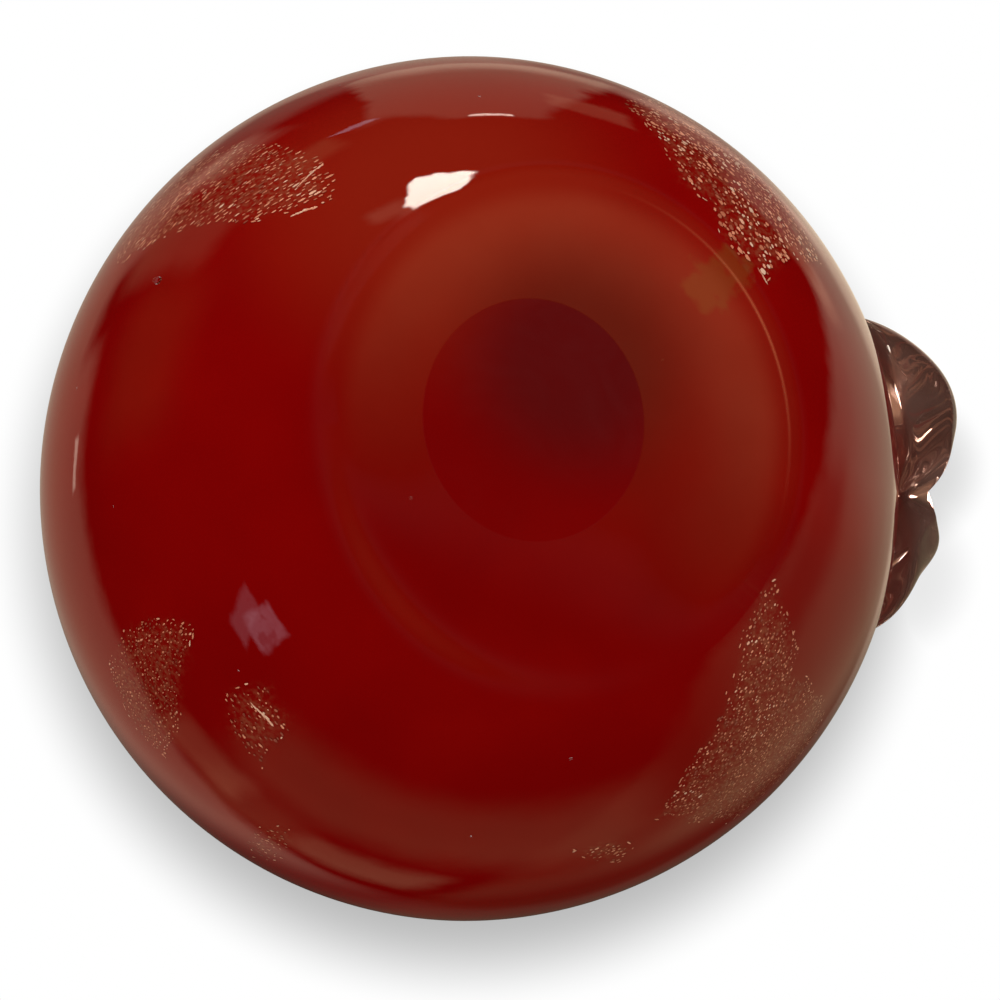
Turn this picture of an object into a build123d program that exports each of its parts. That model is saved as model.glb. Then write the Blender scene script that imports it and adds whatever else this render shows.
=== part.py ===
from build123d import *
import os
from math import cos, radians, sin

# A hand-blown apple of cased art glass: a hollow ruby bubble, torn gold leaf laid on it,
# a clear casing gathered over both, a stem that closes the blow hole and a leaf pressed
# over the shoulder. Millimetres. The origin is the middle of the ground base, on the
# axis of the body, with +Z up through the stem hollow and +X towards the leaf.

# Outer skin of the body
BODY_DIAMETER = 115.0
EQUATOR_HEIGHT = 52.0
CREST_HEIGHT = 96.0
CREST_DIAMETER = 54.0
DIMPLE_DEPTH = 15.0
SHOULDER_FULLNESS = 0.58
DIMPLE_FULLNESS = 0.5

# Ground base and the polished hollow where the pontil was cut away
FACET_DIAMETER = 60.0
PONTIL_DIAMETER = 28.0
PONTIL_DEPTH = 1.5
PONTIL_X = -3.3
PONTIL_Y = -0.9

# Layers of glass, from the skin inwards
CASING_THICKNESS = 4.5
CASING_UNDER_BUBBLE = 6.5
RUBY_THICKNESS = 4.0
BUBBLE_BOTTOM_FULLNESS = 0.82
BUBBLE_SIDE_FULLNESS = 0.62
GOLD_THICKNESS = 0.15
GOLD_BED = 0.05

# Blow hole and the stem that closes it
BLOW_HOLE_DIAMETER = 11.0
STEM_ROOT_LENGTH = 7.0
STEM_FOOT_SINK = 1.5
STEM_LENGTH = 43.0
STEM_LEAN = 30.0
STEM_AZIMUTH = 168.0
STEM_FOOT_DIAMETER = 22.0
STEM_COLLAR_DIAMETER = 14.5
STEM_COLLAR_PLACE = 0.18
STEM_WAIST_DIAMETER = 10.5
STEM_WAIST_PLACE = 0.55
STEM_TIP_DIAMETER = 14.0
STEM_TIP_ROUNDING = 4.5

# Leaf: a thick and a thin lobe with a midrib groove between them
LEAF_LEFT_WIDTH = 29.0
LEAF_RIGHT_WIDTH = 18.0
LEAF_THICK_LOBE = 10.0
LEAF_THIN_LOBE = 5.4
LEAF_GROOVE_THICKNESS = 3.0
LEAF_EDGE_THICKNESS = 3.0
LEAF_ROOT_MELT = 1.5
LEAF_ROOT_RISE = 9.0
LEAF_ROOT_PITCH = 55.0
LEAF_ROOT_WIDTH_SHARE = 0.22
LEAF_ROOT_THICKNESS_SHARE = 0.6

body_radius = BODY_DIAMETER / 2
crest_radius = CREST_DIAMETER / 2
bore_radius = BLOW_HOLE_DIAMETER / 2
dimple_floor = CREST_HEIGHT - DIMPLE_DEPTH
body_middle = Vector(0, 0, EQUATOR_HEIGHT)


def shoulder_points(depth):
    """Control points of the wall from the equator up to the crest, at a depth below the skin."""
    equator = Vector(body_radius - depth, EQUATOR_HEIGHT)
    crest = Vector(crest_radius, CREST_HEIGHT - depth)
    lift = Vector(0, SHOULDER_FULLNESS * (crest.Y - equator.Y))
    reach = Vector(SHOULDER_FULLNESS * (equator.X - crest.X), 0)
    return [equator, equator + lift, crest + reach, crest]


def dimple_points(depth):
    """Control points of the wall from the crest down to the rim of the blow hole."""
    crest = Vector(crest_radius, CREST_HEIGHT - depth)
    rim = Vector(bore_radius, dimple_floor - depth)
    reach = Vector(DIMPLE_FULLNESS * (crest.X - rim.X), 0)
    return [crest, crest - reach, rim + reach, rim]


def turned(lower_edges, depth, bottom):
    """The body turned round its axis from a lower wall, with the upper wall at this depth."""
    rim = dimple_points(depth)[-1]
    edges = lower_edges + [
        Bezier(*shoulder_points(depth)),
        Bezier(*dimple_points(depth)),
        Line(rim, (0, rim.Y)),
        Line((0, rim.Y), (0, bottom)),
    ]
    return revolve(Plane.XZ * make_face(edges), Axis.Z)


def skin_body():
    """Everything inside the outer skin, standing on the ground base."""
    facet_edge = (FACET_DIAMETER / 2, 0)
    equator = (body_radius, EQUATOR_HEIGHT)
    lower_side = TangentArc(equator, facet_edge, tangent=(0, -1))
    return turned([Line((0, 0), facet_edge), lower_side], 0, 0)


def bubble_body(depth, bottom):
    """Everything inside a layer that lies at this depth, with a rounded underside."""
    equator = Vector(body_radius - depth, EQUATOR_HEIGHT)
    start = Vector(0, bottom)
    flat = start + Vector(BUBBLE_BOTTOM_FULLNESS * equator.X, 0)
    steep = equator - Vector(0, BUBBLE_SIDE_FULLNESS * (EQUATOR_HEIGHT - bottom))
    return turned([Bezier(start, flat, steep, equator)], depth, bottom)


# Torn sheets of gold leaf. Each has its place on the body as an azimuth and a latitude
# seen from the middle of the body, and its ragged outline in hundredths of the body's
# radius east and up.
GOLD_SHEETS = {
    "gold_leaf_front_left": (
        -139,
        -30,
        [(12, -24), (8, -27), (1, -23), (-5, -16), (-9, -5), (-14, 7), (-22, 25),
         (-15, 36), (-1, 32), (9, 33), (14, 14), (15, -4), (16, -16)],
    ),
    "gold_leaf_front_right": (
        -53,
        -42,
        [(14, -16), (17, -18), (19, -7), (26, 6), (13, 17), (-7, 23),
         (-22, 33), (-28, 7), (-13, -7), (-9, -12), (-2, -11), (4, -17)],
    ),
    "gold_leaf_rear_right": (
        47,
        -37,
        [(-16, -26), (-14, -13), (-11, -6), (-18, 14), (-14, 29), (-4, 33), (12, 34),
         (21, 19), (31, 5), (22, -4), (9, -13), (-3, -24), (-11, -28)],
    ),
    "gold_leaf_rear_low": (76, -28, [(8, -2), (3, -5), (-3, -4), (-7, 2), (-5, 10), (3, 4)]),
    "gold_leaf_left_side": (
        147,
        -20,
        [(13, -5), (10, -18), (5, -25), (0, -19), (-4, -12), (-8, -7), (-14, 6),
         (-15, 17), (-7, 21), (3, 18), (9, 15)],
    ),
    "gold_leaf_rear_left": (
        133,
        -34,
        [(10, 1), (8, -4), (5, -11), (1, -7), (-4, -9), (-5, -2),
         (-6, 3), (-8, 11), (-2, 10), (2, 12), (6, 7)],
    ),
    "gold_leaf_rear_small": (120, -10, [(5, 4), (4, -8), (0, -17), (-4, -10), (-5, 6), (-1, 18)]),
    "gold_leaf_shoulder_front": (
        -100,
        22,
        [(-23, -10), (-7, -19), (12, -14), (24, 3), (10, 16), (-5, 10), (-17, 19)],
    ),
    "gold_leaf_shoulder_right": (-28, 14, [(-14, -16), (3, -21), (16, -5), (12, 14), (-2, 21), (-16, 9)]),
    "gold_leaf_shoulder_rear": (
        95,
        24,
        [(-26, 3), (-10, -16), (9, -12), (23, -17), (21, 7), (5, 17), (-12, 14)],
    ),
    "gold_leaf_shoulder_left": (
        -168,
        26,
        [(-16, -14), (5, -19), (19, -7), (14, 12), (-3, 21), (-21, 10)],
    ),
    "gold_leaf_crest": (40, 38, [(-12, -10), (7, -14), (16, 3), (5, 14), (-10, 10)]),
}


def gold_sheet(layer, azimuth, latitude, outline):
    """One torn sheet: the part of the gold layer behind its outline."""
    around, above = radians(azimuth), radians(latitude)
    outward = Vector(cos(above) * cos(around), cos(above) * sin(around), sin(above))
    east = Vector(-sin(around), cos(around), 0)
    plane = Plane(origin=body_middle, x_dir=east, z_dir=outward)
    corners = [(across * body_radius / 100, up * body_radius / 100) for across, up in outline]
    return layer & extrude(plane * make_face(Polyline(corners, close=True)), BODY_DIAMETER)


skin = skin_body()
bubble = bubble_body(CASING_THICKNESS, CASING_UNDER_BUBBLE)
gold_under = bubble_body(CASING_THICKNESS - GOLD_BED, CASING_UNDER_BUBBLE - GOLD_BED)
gold_reach = GOLD_BED + GOLD_THICKNESS
gold_over = bubble_body(CASING_THICKNESS - gold_reach, CASING_UNDER_BUBBLE - gold_reach)
cavity_depth = CASING_THICKNESS + RUBY_THICKNESS
cavity = bubble_body(cavity_depth, CASING_UNDER_BUBBLE + RUBY_THICKNESS)
blow_hole = Pos(0, 0, dimple_floor) * Cylinder(
    bore_radius, cavity_depth, align=(Align.CENTER, Align.CENTER, Align.MAX)
)

# Gold leaf, pressed flat round the ruby bubble on a thin bed of the casing's own glass
gold_layer = gold_over - gold_under
gold = {name: gold_sheet(gold_layer, *sheet) for name, sheet in GOLD_SHEETS.items()}

# Ruby bubble
ruby_bubble = bubble - cavity - blow_hole

# Clear casing, with the pontil mark cut into the base as a shallow spherical hollow
pontil_radius = PONTIL_DIAMETER / 2
hollow_radius = (pontil_radius**2 + PONTIL_DEPTH**2) / (2 * PONTIL_DEPTH)
pontil = Pos(PONTIL_X, PONTIL_Y, PONTIL_DEPTH - hollow_radius) * Sphere(hollow_radius)
clear_casing = skin - bubble - blow_hole - pontil
for sheet in gold.values():
    clear_casing -= sheet

# Stem: a foot melted into the dimple, a waist, a rounded tip and a root in the blow hole
stem_bend = STEM_LENGTH / radians(STEM_LEAN)
stem_heading = radians(STEM_AZIMUTH)


def stem_section(length, diameter):
    """A round section at a length up the stem from the floor of the dimple."""
    turn = length / stem_bend
    out = stem_bend * (1 - cos(turn))
    up = dimple_floor + stem_bend * sin(turn)
    side = Vector(cos(stem_heading), sin(stem_heading), 0)
    direction = side * sin(turn) + Vector(0, 0, cos(turn))
    plane = Plane(origin=side * out + Vector(0, 0, up), x_dir=direction.cross(side), z_dir=direction)
    return plane * Circle(diameter / 2)


stem_blank = loft(
    [
        stem_section(-STEM_FOOT_SINK, STEM_FOOT_DIAMETER),
        stem_section(STEM_COLLAR_PLACE * STEM_LENGTH, STEM_COLLAR_DIAMETER),
        stem_section(STEM_WAIST_PLACE * STEM_LENGTH, STEM_WAIST_DIAMETER),
        stem_section(STEM_LENGTH, STEM_TIP_DIAMETER),
    ]
)
stem_blank = fillet(stem_blank.edges().sort_by(Axis.Z)[-1], STEM_TIP_ROUNDING)
stem_root = Pos(0, 0, dimple_floor) * Cylinder(
    bore_radius, STEM_ROOT_LENGTH, align=(Align.CENTER, Align.CENTER, Align.MAX)
)
stem = (stem_blank - skin) + stem_root

# Leaf: sections across a line that climbs out of the dimple, crosses the crest and hangs
# down the side. Each row is a place on the shoulder, from 1 at the crest to 0 at the
# equator, then the shares of the full width and thickness that the leaf has there, and
# the lift of its underside over the skin as a share of the thick lobe, below zero where
# it was pressed into the glass.
LEAF_SECTIONS = [
    (0.98, 0.46, 0.52, -0.10),
    (0.74, 0.76, 0.62, -0.10),
    (0.48, 0.96, 0.76, -0.06),
    (0.24, 1.03, 0.88, 0.14),
    (0.06, 1.00, 1.02, 0.27),
    (-0.07, 0.70, 0.84, 0.36),
    (-0.13, 0.28, 0.44, 0.38),
]


def leaf_outline(width, thickness, bend_radius):
    """A leaf's cross-section on its bed: two lobes, the groove between them and a bowed underside."""
    left = -LEAF_LEFT_WIDTH * width
    right = LEAF_RIGHT_WIDTH * width
    edge = LEAF_EDGE_THICKNESS / 2

    def bowed(across, up):
        return (across, up * thickness - across**2 / (2 * bend_radius))

    top = Spline(
        bowed(left, edge),
        bowed(0.95 * left, 0.60 * LEAF_THICK_LOBE),
        bowed(0.80 * left, LEAF_THICK_LOBE),
        bowed(0.45 * left, 0.86 * LEAF_THICK_LOBE),
        bowed(0, LEAF_GROOVE_THICKNESS),
        bowed(0.44 * right, LEAF_THIN_LOBE),
        bowed(0.68 * right, 0.74 * LEAF_THIN_LOBE),
        bowed(right, edge),
    )
    underside = ThreePointArc(top @ 1, bowed(0, 0), top @ 0)
    return make_face([top, underside])


def leaf_section(place, width, thickness, lift):
    """One section of the leaf, square to the shoulder at this place."""
    p0, p1, p2, p3 = shoulder_points(0)
    rest = 1 - place
    point = p0 * rest**3 + p1 * 3 * rest**2 * place + p2 * 3 * rest * place**2 + p3 * place**3
    along = (p1 - p0) * rest**2 + (p2 - p1) * 2 * rest * place + (p3 - p2) * place**2
    along = along.normalized()
    out = Vector(along.Y, 0, -along.X)
    bed = Vector(point.X, 0, point.Y) + out * lift * LEAF_THICK_LOBE
    plane = Plane(origin=bed, x_dir=(0, 1, 0), z_dir=Vector(0, 1, 0).cross(out))
    return plane * leaf_outline(width, thickness, point.X)


root_pitch = radians(LEAF_ROOT_PITCH)
root_plane = Plane(
    origin=(STEM_COLLAR_DIAMETER / 2 - LEAF_ROOT_MELT, 0, dimple_floor + LEAF_ROOT_RISE),
    x_dir=(0, 1, 0),
    z_dir=(cos(root_pitch), 0, sin(root_pitch)),
)
leaf_root = root_plane * leaf_outline(LEAF_ROOT_WIDTH_SHARE, LEAF_ROOT_THICKNESS_SHARE, body_radius)
leaf_blank = loft([leaf_root] + [leaf_section(*row) for row in LEAF_SECTIONS])
leaf = leaf_blank - skin - stem

os.makedirs("parts", exist_ok=True)
pieces = {"ruby_bubble": ruby_bubble, "clear_casing": clear_casing, "stem": stem, "leaf": leaf}
pieces.update(gold)
for name, piece in pieces.items():
    export_step(piece, f"parts/{name}.step")
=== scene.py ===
import math
import random
from functools import partial

import bpy
import numpy as np
from mathutils import Matrix, Vector, noise
from mathutils.bvhtree import BVHTree
from mathutils.kdtree import KDTree


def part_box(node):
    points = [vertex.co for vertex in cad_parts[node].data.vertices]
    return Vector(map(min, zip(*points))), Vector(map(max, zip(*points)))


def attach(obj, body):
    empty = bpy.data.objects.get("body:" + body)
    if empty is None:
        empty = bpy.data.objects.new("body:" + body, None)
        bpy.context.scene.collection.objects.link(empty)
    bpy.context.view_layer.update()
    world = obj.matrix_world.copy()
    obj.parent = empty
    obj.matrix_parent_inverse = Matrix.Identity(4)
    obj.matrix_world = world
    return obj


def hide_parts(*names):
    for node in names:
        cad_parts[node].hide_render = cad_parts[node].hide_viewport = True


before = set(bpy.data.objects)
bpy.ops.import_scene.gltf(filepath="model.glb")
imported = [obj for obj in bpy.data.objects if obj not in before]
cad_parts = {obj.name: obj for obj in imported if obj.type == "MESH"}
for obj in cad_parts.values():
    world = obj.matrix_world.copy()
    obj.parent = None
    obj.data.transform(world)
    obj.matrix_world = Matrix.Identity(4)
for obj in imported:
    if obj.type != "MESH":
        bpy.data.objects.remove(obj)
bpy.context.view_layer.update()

# Ruby bubble
# The hollow bubble of dense red glass that is blown first. It is turned on the pipe, so it is
# round about the upright axis, and its wall ends at the blow hole in the stem hollow.
ruby_low, ruby_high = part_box("ruby_bubble")
ruby_wall = 0.004
equator_height = 0.052
crest_radius = 0.027
hole_radius = 0.0055
hollow_depth = 0.015
body_middle = Vector((0, 0, equator_height))


def bend_point(pulls, t):
    """The point at a share of a smooth bend, which starts at the first pull and ends at the last."""
    u = 1 - t
    weights = (u * u * u, 3 * u * u * t, 3 * u * t * t, t * t * t)
    return tuple(sum(w * p[i] for w, p in zip(weights, pulls)) for i in (0, 1))


def bend(start, first_pull, second_pull, end, steps):
    """Points along a smooth bend, without its first point."""
    pulls = (start, first_pull, second_pull, end)
    return [bend_point(pulls, step / steps) for step in range(1, steps + 1)]


def shoulder_pulls(radius, crest):
    """The start, pulls and end of the bend from the equator up to the crest."""
    reach = 0.58 * (radius - crest_radius)
    lift = 0.58 * (crest - equator_height)
    first_pull, second_pull = (radius, equator_height + lift), (crest_radius + reach, crest)
    return (radius, equator_height), first_pull, second_pull, (crest_radius, crest)


def shoulder(radius, crest, steps):
    """The wall from the equator up to the crest, as distance from the axis and height."""
    return bend(*shoulder_pulls(radius, crest), steps)


def stem_hollow(crest, steps):
    """The wall from the crest down into the stem hollow, to the rim of the blow hole."""
    reach = 0.5 * (crest_radius - hole_radius)
    floor = crest - hollow_depth
    start = (crest_radius, crest)
    end = (hole_radius, floor)
    return bend(start, (crest_radius - reach, crest), (hole_radius + reach, floor), end, steps)


def underside(radius, bottom, steps):
    """The rounded lower wall of a bubble, from its bottom up to the equator."""
    flat = (0.82 * radius, bottom)
    steep = (radius, equator_height - 0.62 * (equator_height - bottom))
    return bend((0, bottom), flat, steep, (radius, equator_height), steps)


def spin(name, rows, turns):
    """A smooth mesh turned from rows: a distance and a height, or a rule that gives a point for an angle."""
    verts = []
    faces = []
    ring_before = None
    for row in rows:
        first = len(verts)
        if callable(row):
            verts += [row(2 * math.pi * turn / turns) for turn in range(turns)]
            ring = list(range(first, first + turns))
        elif row[0] < 1e-7:
            middle = row[2] if len(row) > 2 else (0, 0)
            verts.append((middle[0], middle[1], row[1]))
            ring = [first] * turns
        else:
            for turn in range(turns):
                angle = 2 * math.pi * turn / turns
                verts.append((row[0] * math.cos(angle), row[0] * math.sin(angle), row[1]))
            ring = list(range(first, first + turns))
        if ring_before is not None:
            for turn in range(turns):
                after = (turn + 1) % turns
                corners = [ring_before[turn], ring_before[after], ring[after], ring[turn]]
                faces.append(list(dict.fromkeys(corners)))
        ring_before = ring
    return smooth_piece(name, verts, faces)


def flat_piece(name, verts, faces):
    """A flat shaded object from points and faces, in the frame of the whole apple."""
    mesh = bpy.data.meshes.new(name)
    mesh.from_pydata(verts, [], faces)
    piece = bpy.data.objects.new(name, mesh)
    bpy.context.scene.collection.objects.link(piece)
    return piece


def smooth_piece(name, verts, faces):
    """A smooth shaded object from points and faces."""
    piece = flat_piece(name, verts, faces)
    piece.data.shade_smooth()
    return piece


def put(tree, kind, inputs, **settings):
    """Adds a shader node, sets it and fills or joins its inputs."""
    node = tree.nodes.new(kind)
    for key, value in settings.items():
        setattr(node, key, value)
    for key, value in inputs.items():
        if isinstance(value, bpy.types.NodeSocket):
            tree.links.new(value, node.inputs[key])
        else:
            node.inputs[key].default_value = value
    return node


def new_finish(name, *pieces):
    """An empty node material on one or more pieces."""
    finish = bpy.data.materials.new(name)
    finish.use_nodes = True
    finish.node_tree.nodes.clear()
    for piece in pieces:
        piece.data.materials.append(finish)
    return finish.node_tree


def colour_steps(tree, factor, *steps):
    """Colours blended along a factor, each step a place and a colour."""
    ramp = put(tree, "ShaderNodeValToRGB", {"Fac": factor})
    while len(ramp.color_ramp.elements) < len(steps):
        ramp.color_ramp.elements.new(0.5)
    for element, (place, colour) in zip(ramp.color_ramp.elements, steps):
        element.position = place
        element.color = (*colour, 1)
    return ramp.outputs["Color"]


def blended(tree, factor, first, second):
    """Two colours mixed by a factor."""
    mix = put(tree, "ShaderNodeMix", {}, data_type="RGBA")
    for socket, value in ((mix.inputs[0], factor), (mix.inputs[6], first), (mix.inputs[7], second)):
        if isinstance(value, bpy.types.NodeSocket):
            tree.links.new(value, socket)
        else:
            socket.default_value = value
    return mix.outputs[2]


ruby_rows = [(0, ruby_low.z)]
ruby_rows += underside(ruby_high.x, ruby_low.z, 130)
ruby_rows += shoulder(ruby_high.x, ruby_high.z, 90)
ruby_rows += stem_hollow(ruby_high.z, 30)
ruby_rows += stem_hollow(ruby_high.z - ruby_wall, 20)[::-1]
ruby_rows += shoulder(ruby_high.x - ruby_wall, ruby_high.z - ruby_wall, 30)[::-1]
ruby_rows += underside(ruby_high.x - ruby_wall, ruby_low.z + ruby_wall, 40)[::-1]
ruby_rows += [(0, ruby_low.z + ruby_wall)]
ruby = spin("ruby_bubble_wall", ruby_rows, 288)


def torn_edge(sheet_faces):
    """The edges that only one outer face of a sheet has."""
    seen = {}
    for corners in sheet_faces:
        for i, start in enumerate(corners):
            end = corners[(i + 1) % len(corners)]
            ends = tuple(sorted(tuple(round(c, 6) for c in p) for p in (start, end)))
            seen.setdefault(ends, []).append((start, end))
    return [found[0] for found in seen.values() if len(found) == 1]


def smooth_share(low, high, value):
    """0 below a low value, 1 above a high one and a smooth rise between them."""
    share = min(1, max(0, (value - low) / (high - low)))
    return share * share * (3 - 2 * share)


torn_spacing = 0.0004
sheet_reach = 0.0004
dust_fade = 0.0028
gold_nodes = [node for node in sorted(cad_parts) if node.startswith("gold_leaf")]
gold_outer_faces = {}
for node in gold_nodes:
    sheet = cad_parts[node].data
    gold_outer_faces[node] = []
    for face in sheet.polygons:
        if face.normal.dot((face.center - body_middle).normalized()) > 0.5:
            gold_outer_faces[node].append([sheet.vertices[i].co.copy() for i in face.vertices])

gilded_corners = []
gilded_faces = []
for faces in gold_outer_faces.values():
    for corners in faces:
        gilded_faces.append(list(range(len(gilded_corners), len(gilded_corners) + len(corners))))
        gilded_corners += corners
gilded = BVHTree.FromPolygons(gilded_corners, gilded_faces)
torn_points = []
for faces in gold_outer_faces.values():
    for start, end in torn_edge(faces):
        pieces = max(1, round((end - start).length / torn_spacing))
        torn_points += [start.lerp(end, part / pieces) for part in range(pieces)]
torn_near = KDTree(len(torn_points))
for count, point in enumerate(torn_points):
    torn_near.insert(point, count)
torn_near.balance()
dust_values = []
for vert in ruby.data.vertices:
    on_sheet = gilded.find_nearest(vert.co)[3] < sheet_reach
    dust_values.append(smooth_share(0.0, dust_fade, torn_near.find(vert.co)[2]) if on_sheet else 0.0)
ruby.data.attributes.new("gold_dust", "FLOAT", "POINT").data.foreach_set("value", dust_values)


def clouds(tree, place, scale, detail, roughness=0.5, distortion=0.0):
    """A cloudy grain, as a value and as a colour."""
    grain = {"Vector": place, "Scale": scale, "Detail": detail}
    grain.update({"Roughness": roughness, "Distortion": distortion})
    return put(tree, "ShaderNodeTexNoise", grain).outputs


def spread_over(tree, value, low, high, least, most, rise="LINEAR"):
    """A value between two limits, spread over a range."""
    limits = {"Value": value, "From Min": low, "From Max": high, "To Min": least, "To Max": most}
    return put(tree, "ShaderNodeMapRange", limits, interpolation_type=rise).outputs["Result"]


def nearness(tree, place, middle, near, far):
    """1 within a near distance of a point, and 0 beyond a far one."""
    reach = put(tree, "ShaderNodeVectorMath", {0: place, 1: middle}, operation="DISTANCE").outputs["Value"]
    return spread_over(tree, reach, near, far, 1.0, 0.0, "SMOOTHSTEP")


def worked(tree, operation, first, second=0.0, third=0.0):
    """One step of arithmetic on values of a finish."""
    values = {0: first, 1: second, 2: third}
    return put(tree, "ShaderNodeMath", values, operation=operation).outputs["Value"]


ruby_tree = new_finish("ruby_glass", ruby)
ruby_place = put(ruby_tree, "ShaderNodeTexCoord", {}).outputs["Object"]
ruby_red = colour_steps(
    ruby_tree,
    clouds(ruby_tree, ruby_place, 55, 3, 0.45)["Fac"],
    (0.30, (0.245, 0.0006, 0.0008)),
    (0.55, (0.272, 0.0009, 0.0009)),
    (0.75, (0.300, 0.0016, 0.0010)),
)
# Painted glow: a warm orange pool of lamp light painted on the ruby round the lamp's highlight near the
# ground edge.
painted_lamp_glow = nearness(ruby_tree, ruby_place, (-0.0127, -0.0283, 0.0112), 0.006, 0.030)
ruby_with_painted_glow = blended(ruby_tree, painted_lamp_glow, ruby_red, (0.30, 0.014, 0.005, 1))
# Darker red over the underside, under the ground base.
base_dark_share = nearness(ruby_tree, ruby_place, (0.0005, 0.0008, 0.0065), 0.022, 0.031)
base_darkening = worked(ruby_tree, "MULTIPLY", base_dark_share, 0.32)
ruby_floor = blended(ruby_tree, base_darkening, ruby_with_painted_glow, (0.165, 0.0006, 0.0007, 1))
dark_pool = nearness(ruby_tree, ruby_place, (0.0033, -0.0088, 0.0068), 0.006, 0.0195)
ruby_pooled = blended(ruby_tree, dark_pool, ruby_floor, (0.135, 0.0034, 0.0036, 1))
# A small orange spot with a ragged outline on the ruby, near one side of the ground edge.
spot_ripple = clouds(ruby_tree, ruby_place, 300, 3)["Color"]
spot_outline = put(
    ruby_tree,
    "ShaderNodeVectorMath",
    {0: spot_ripple, 1: (0.007, 0.007, 0.007), 2: ruby_place},
    operation="MULTIPLY_ADD",
).outputs["Vector"]
orange_spot = nearness(ruby_tree, spot_outline, (0.0240, -0.0153, 0.0154), 0.0030, 0.0045)
orange_spot_share = worked(ruby_tree, "MULTIPLY", orange_spot, 0.85)
ruby_with_orange_spot = blended(ruby_tree, orange_spot_share, ruby_pooled, (0.26, 0.058, 0.014, 1))
dust_spread = put(ruby_tree, "ShaderNodeAttribute", {}, attribute_name="gold_dust").outputs["Fac"]
dust_grain = clouds(ruby_tree, ruby_place, 1500, 2, 0.6)["Fac"]
dust_grains = spread_over(ruby_tree, dust_grain, 0.42, 0.70, 0.05, 0.80)
dust_amount = worked(ruby_tree, "MULTIPLY", dust_spread, dust_grains)
ruby_colour = blended(ruby_tree, dust_amount, ruby_with_orange_spot, (0.33, 0.075, 0.034, 1))
ruby_shader = put(
    ruby_tree,
    "ShaderNodeBsdfPrincipled",
    {"Base Color": ruby_colour, "Roughness": 0.6, "Specular IOR Level": 0.0, "IOR": 1.5},
)
put(ruby_tree, "ShaderNodeOutputMaterial", {"Surface": ruby_shader.outputs["BSDF"]})
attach(ruby, "root")
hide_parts("ruby_bubble")

# Gold leaf
# Torn sheets of gold leaf that the hot bubble is rolled over. They crack into small bright flecks
# as the bubble is blown out, some drawn long one way, with a few folds left bright in them.
ruby_skin = BVHTree.FromObject(ruby, bpy.context.evaluated_depsgraph_get())
fleck_dice = random.Random(41)
fleck_half = 0.000015
fleck_depth = 0.00006
rim_fleck_gap = 0.0011
fold_fleck_gap = 0.0005
# For each sheet: the way it is drawn, the gap and its stretch, a fleck's half length and half width, how
# much the flecks shine and how far the torn rim is bare.
plain_flecks = (35, 0.00075, 1.25, 0.00022, 0.00015, 0.45, 0.0011)
sheet_flecks = {
    "gold_leaf_front_left": (-24, 0.00064, 1.9, 0.00036, 0.00012, 0.50, 0.0003),
    "gold_leaf_front_right": (154, 0.00074, 1.15, 0.00029, 0.00021, 0.58, 0.0005),
    "gold_leaf_rear_right": (-167, 0.00056, 1.20, 0.00017, 0.00012, 0.35, 0.0008),
    "gold_leaf_left_side": (-83, 0.00062, 1.40, 0.00021, 0.00011, 0.30, 0.0006),
    "gold_leaf_rear_left": (170, 0.00080, 1.20, 0.00021, 0.00013, 0.33, 0.0006),
    "gold_leaf_rear_small": (40, 0.00090, 1.20, 0.00020, 0.00013, 0.40, 0.0006),
}
# For each fold: its azimuth and latitude on the bubble, the way it lies and its length.
sheet_folds = {
    "gold_leaf_front_left": [(-130.4, -41.3, 5, 0.0052), (-136.5, -45.3, -34, 0.0034)],
    "gold_leaf_front_right": [(-36.9, -51.1, -12, 0.0020)],
    "gold_leaf_rear_left": [(133.5, -34.8, 179, 0.0040)],
}


def fleck_prism(verts, faces, middle, along, across, out, half_length, half_width, lean=0.16):
    """Adds one thin ragged fleck of leaf, as a closed prism."""
    first = len(verts)
    sides = fleck_dice.choice((5, 6, 6, 7))
    lean_along = fleck_dice.uniform(-lean, lean)
    lean_across = fleck_dice.uniform(-lean, lean)
    rim = []
    for side in range(sides):
        angle = 2 * math.pi * (side + fleck_dice.uniform(-0.25, 0.25)) / sides
        size = fleck_dice.uniform(0.7, 1.15)
        u = half_length * size * math.cos(angle)
        v = half_width * size * math.sin(angle)
        rim.append(middle + along * u + across * v + out * (u * lean_along + v * lean_across))
    verts += [point + out * fleck_half for point in rim]
    verts += [point - out * fleck_half for point in rim]
    faces.append([first + i for i in range(sides)])
    faces.append([first + sides + i for i in reversed(range(sides))])
    for i in range(sides):
        j = (i + 1) % sides
        faces.append([first + j, first + i, first + sides + i, first + sides + j])


def leaf_axes(out, way):
    """The directions along and across a way that is drawn on the bubble, as degrees from east to up."""
    east = Vector((0, 0, 1)).cross(out).normalized()
    along = east * math.cos(math.radians(way)) + out.cross(east) * math.sin(math.radians(way))
    return along, out.cross(along)


def from_middle(azimuth, latitude):
    """The direction from the middle of the apple at an azimuth and a latitude in degrees."""
    a, b = math.radians(azimuth), math.radians(latitude)
    return Vector((math.cos(b) * math.cos(a), math.cos(b) * math.sin(a), math.sin(b)))


def on_ruby(out):
    """The point of the ruby wall in a direction from the middle of the apple."""
    return ruby_skin.ray_cast(body_middle + out * 0.2, -out)[0]


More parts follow.
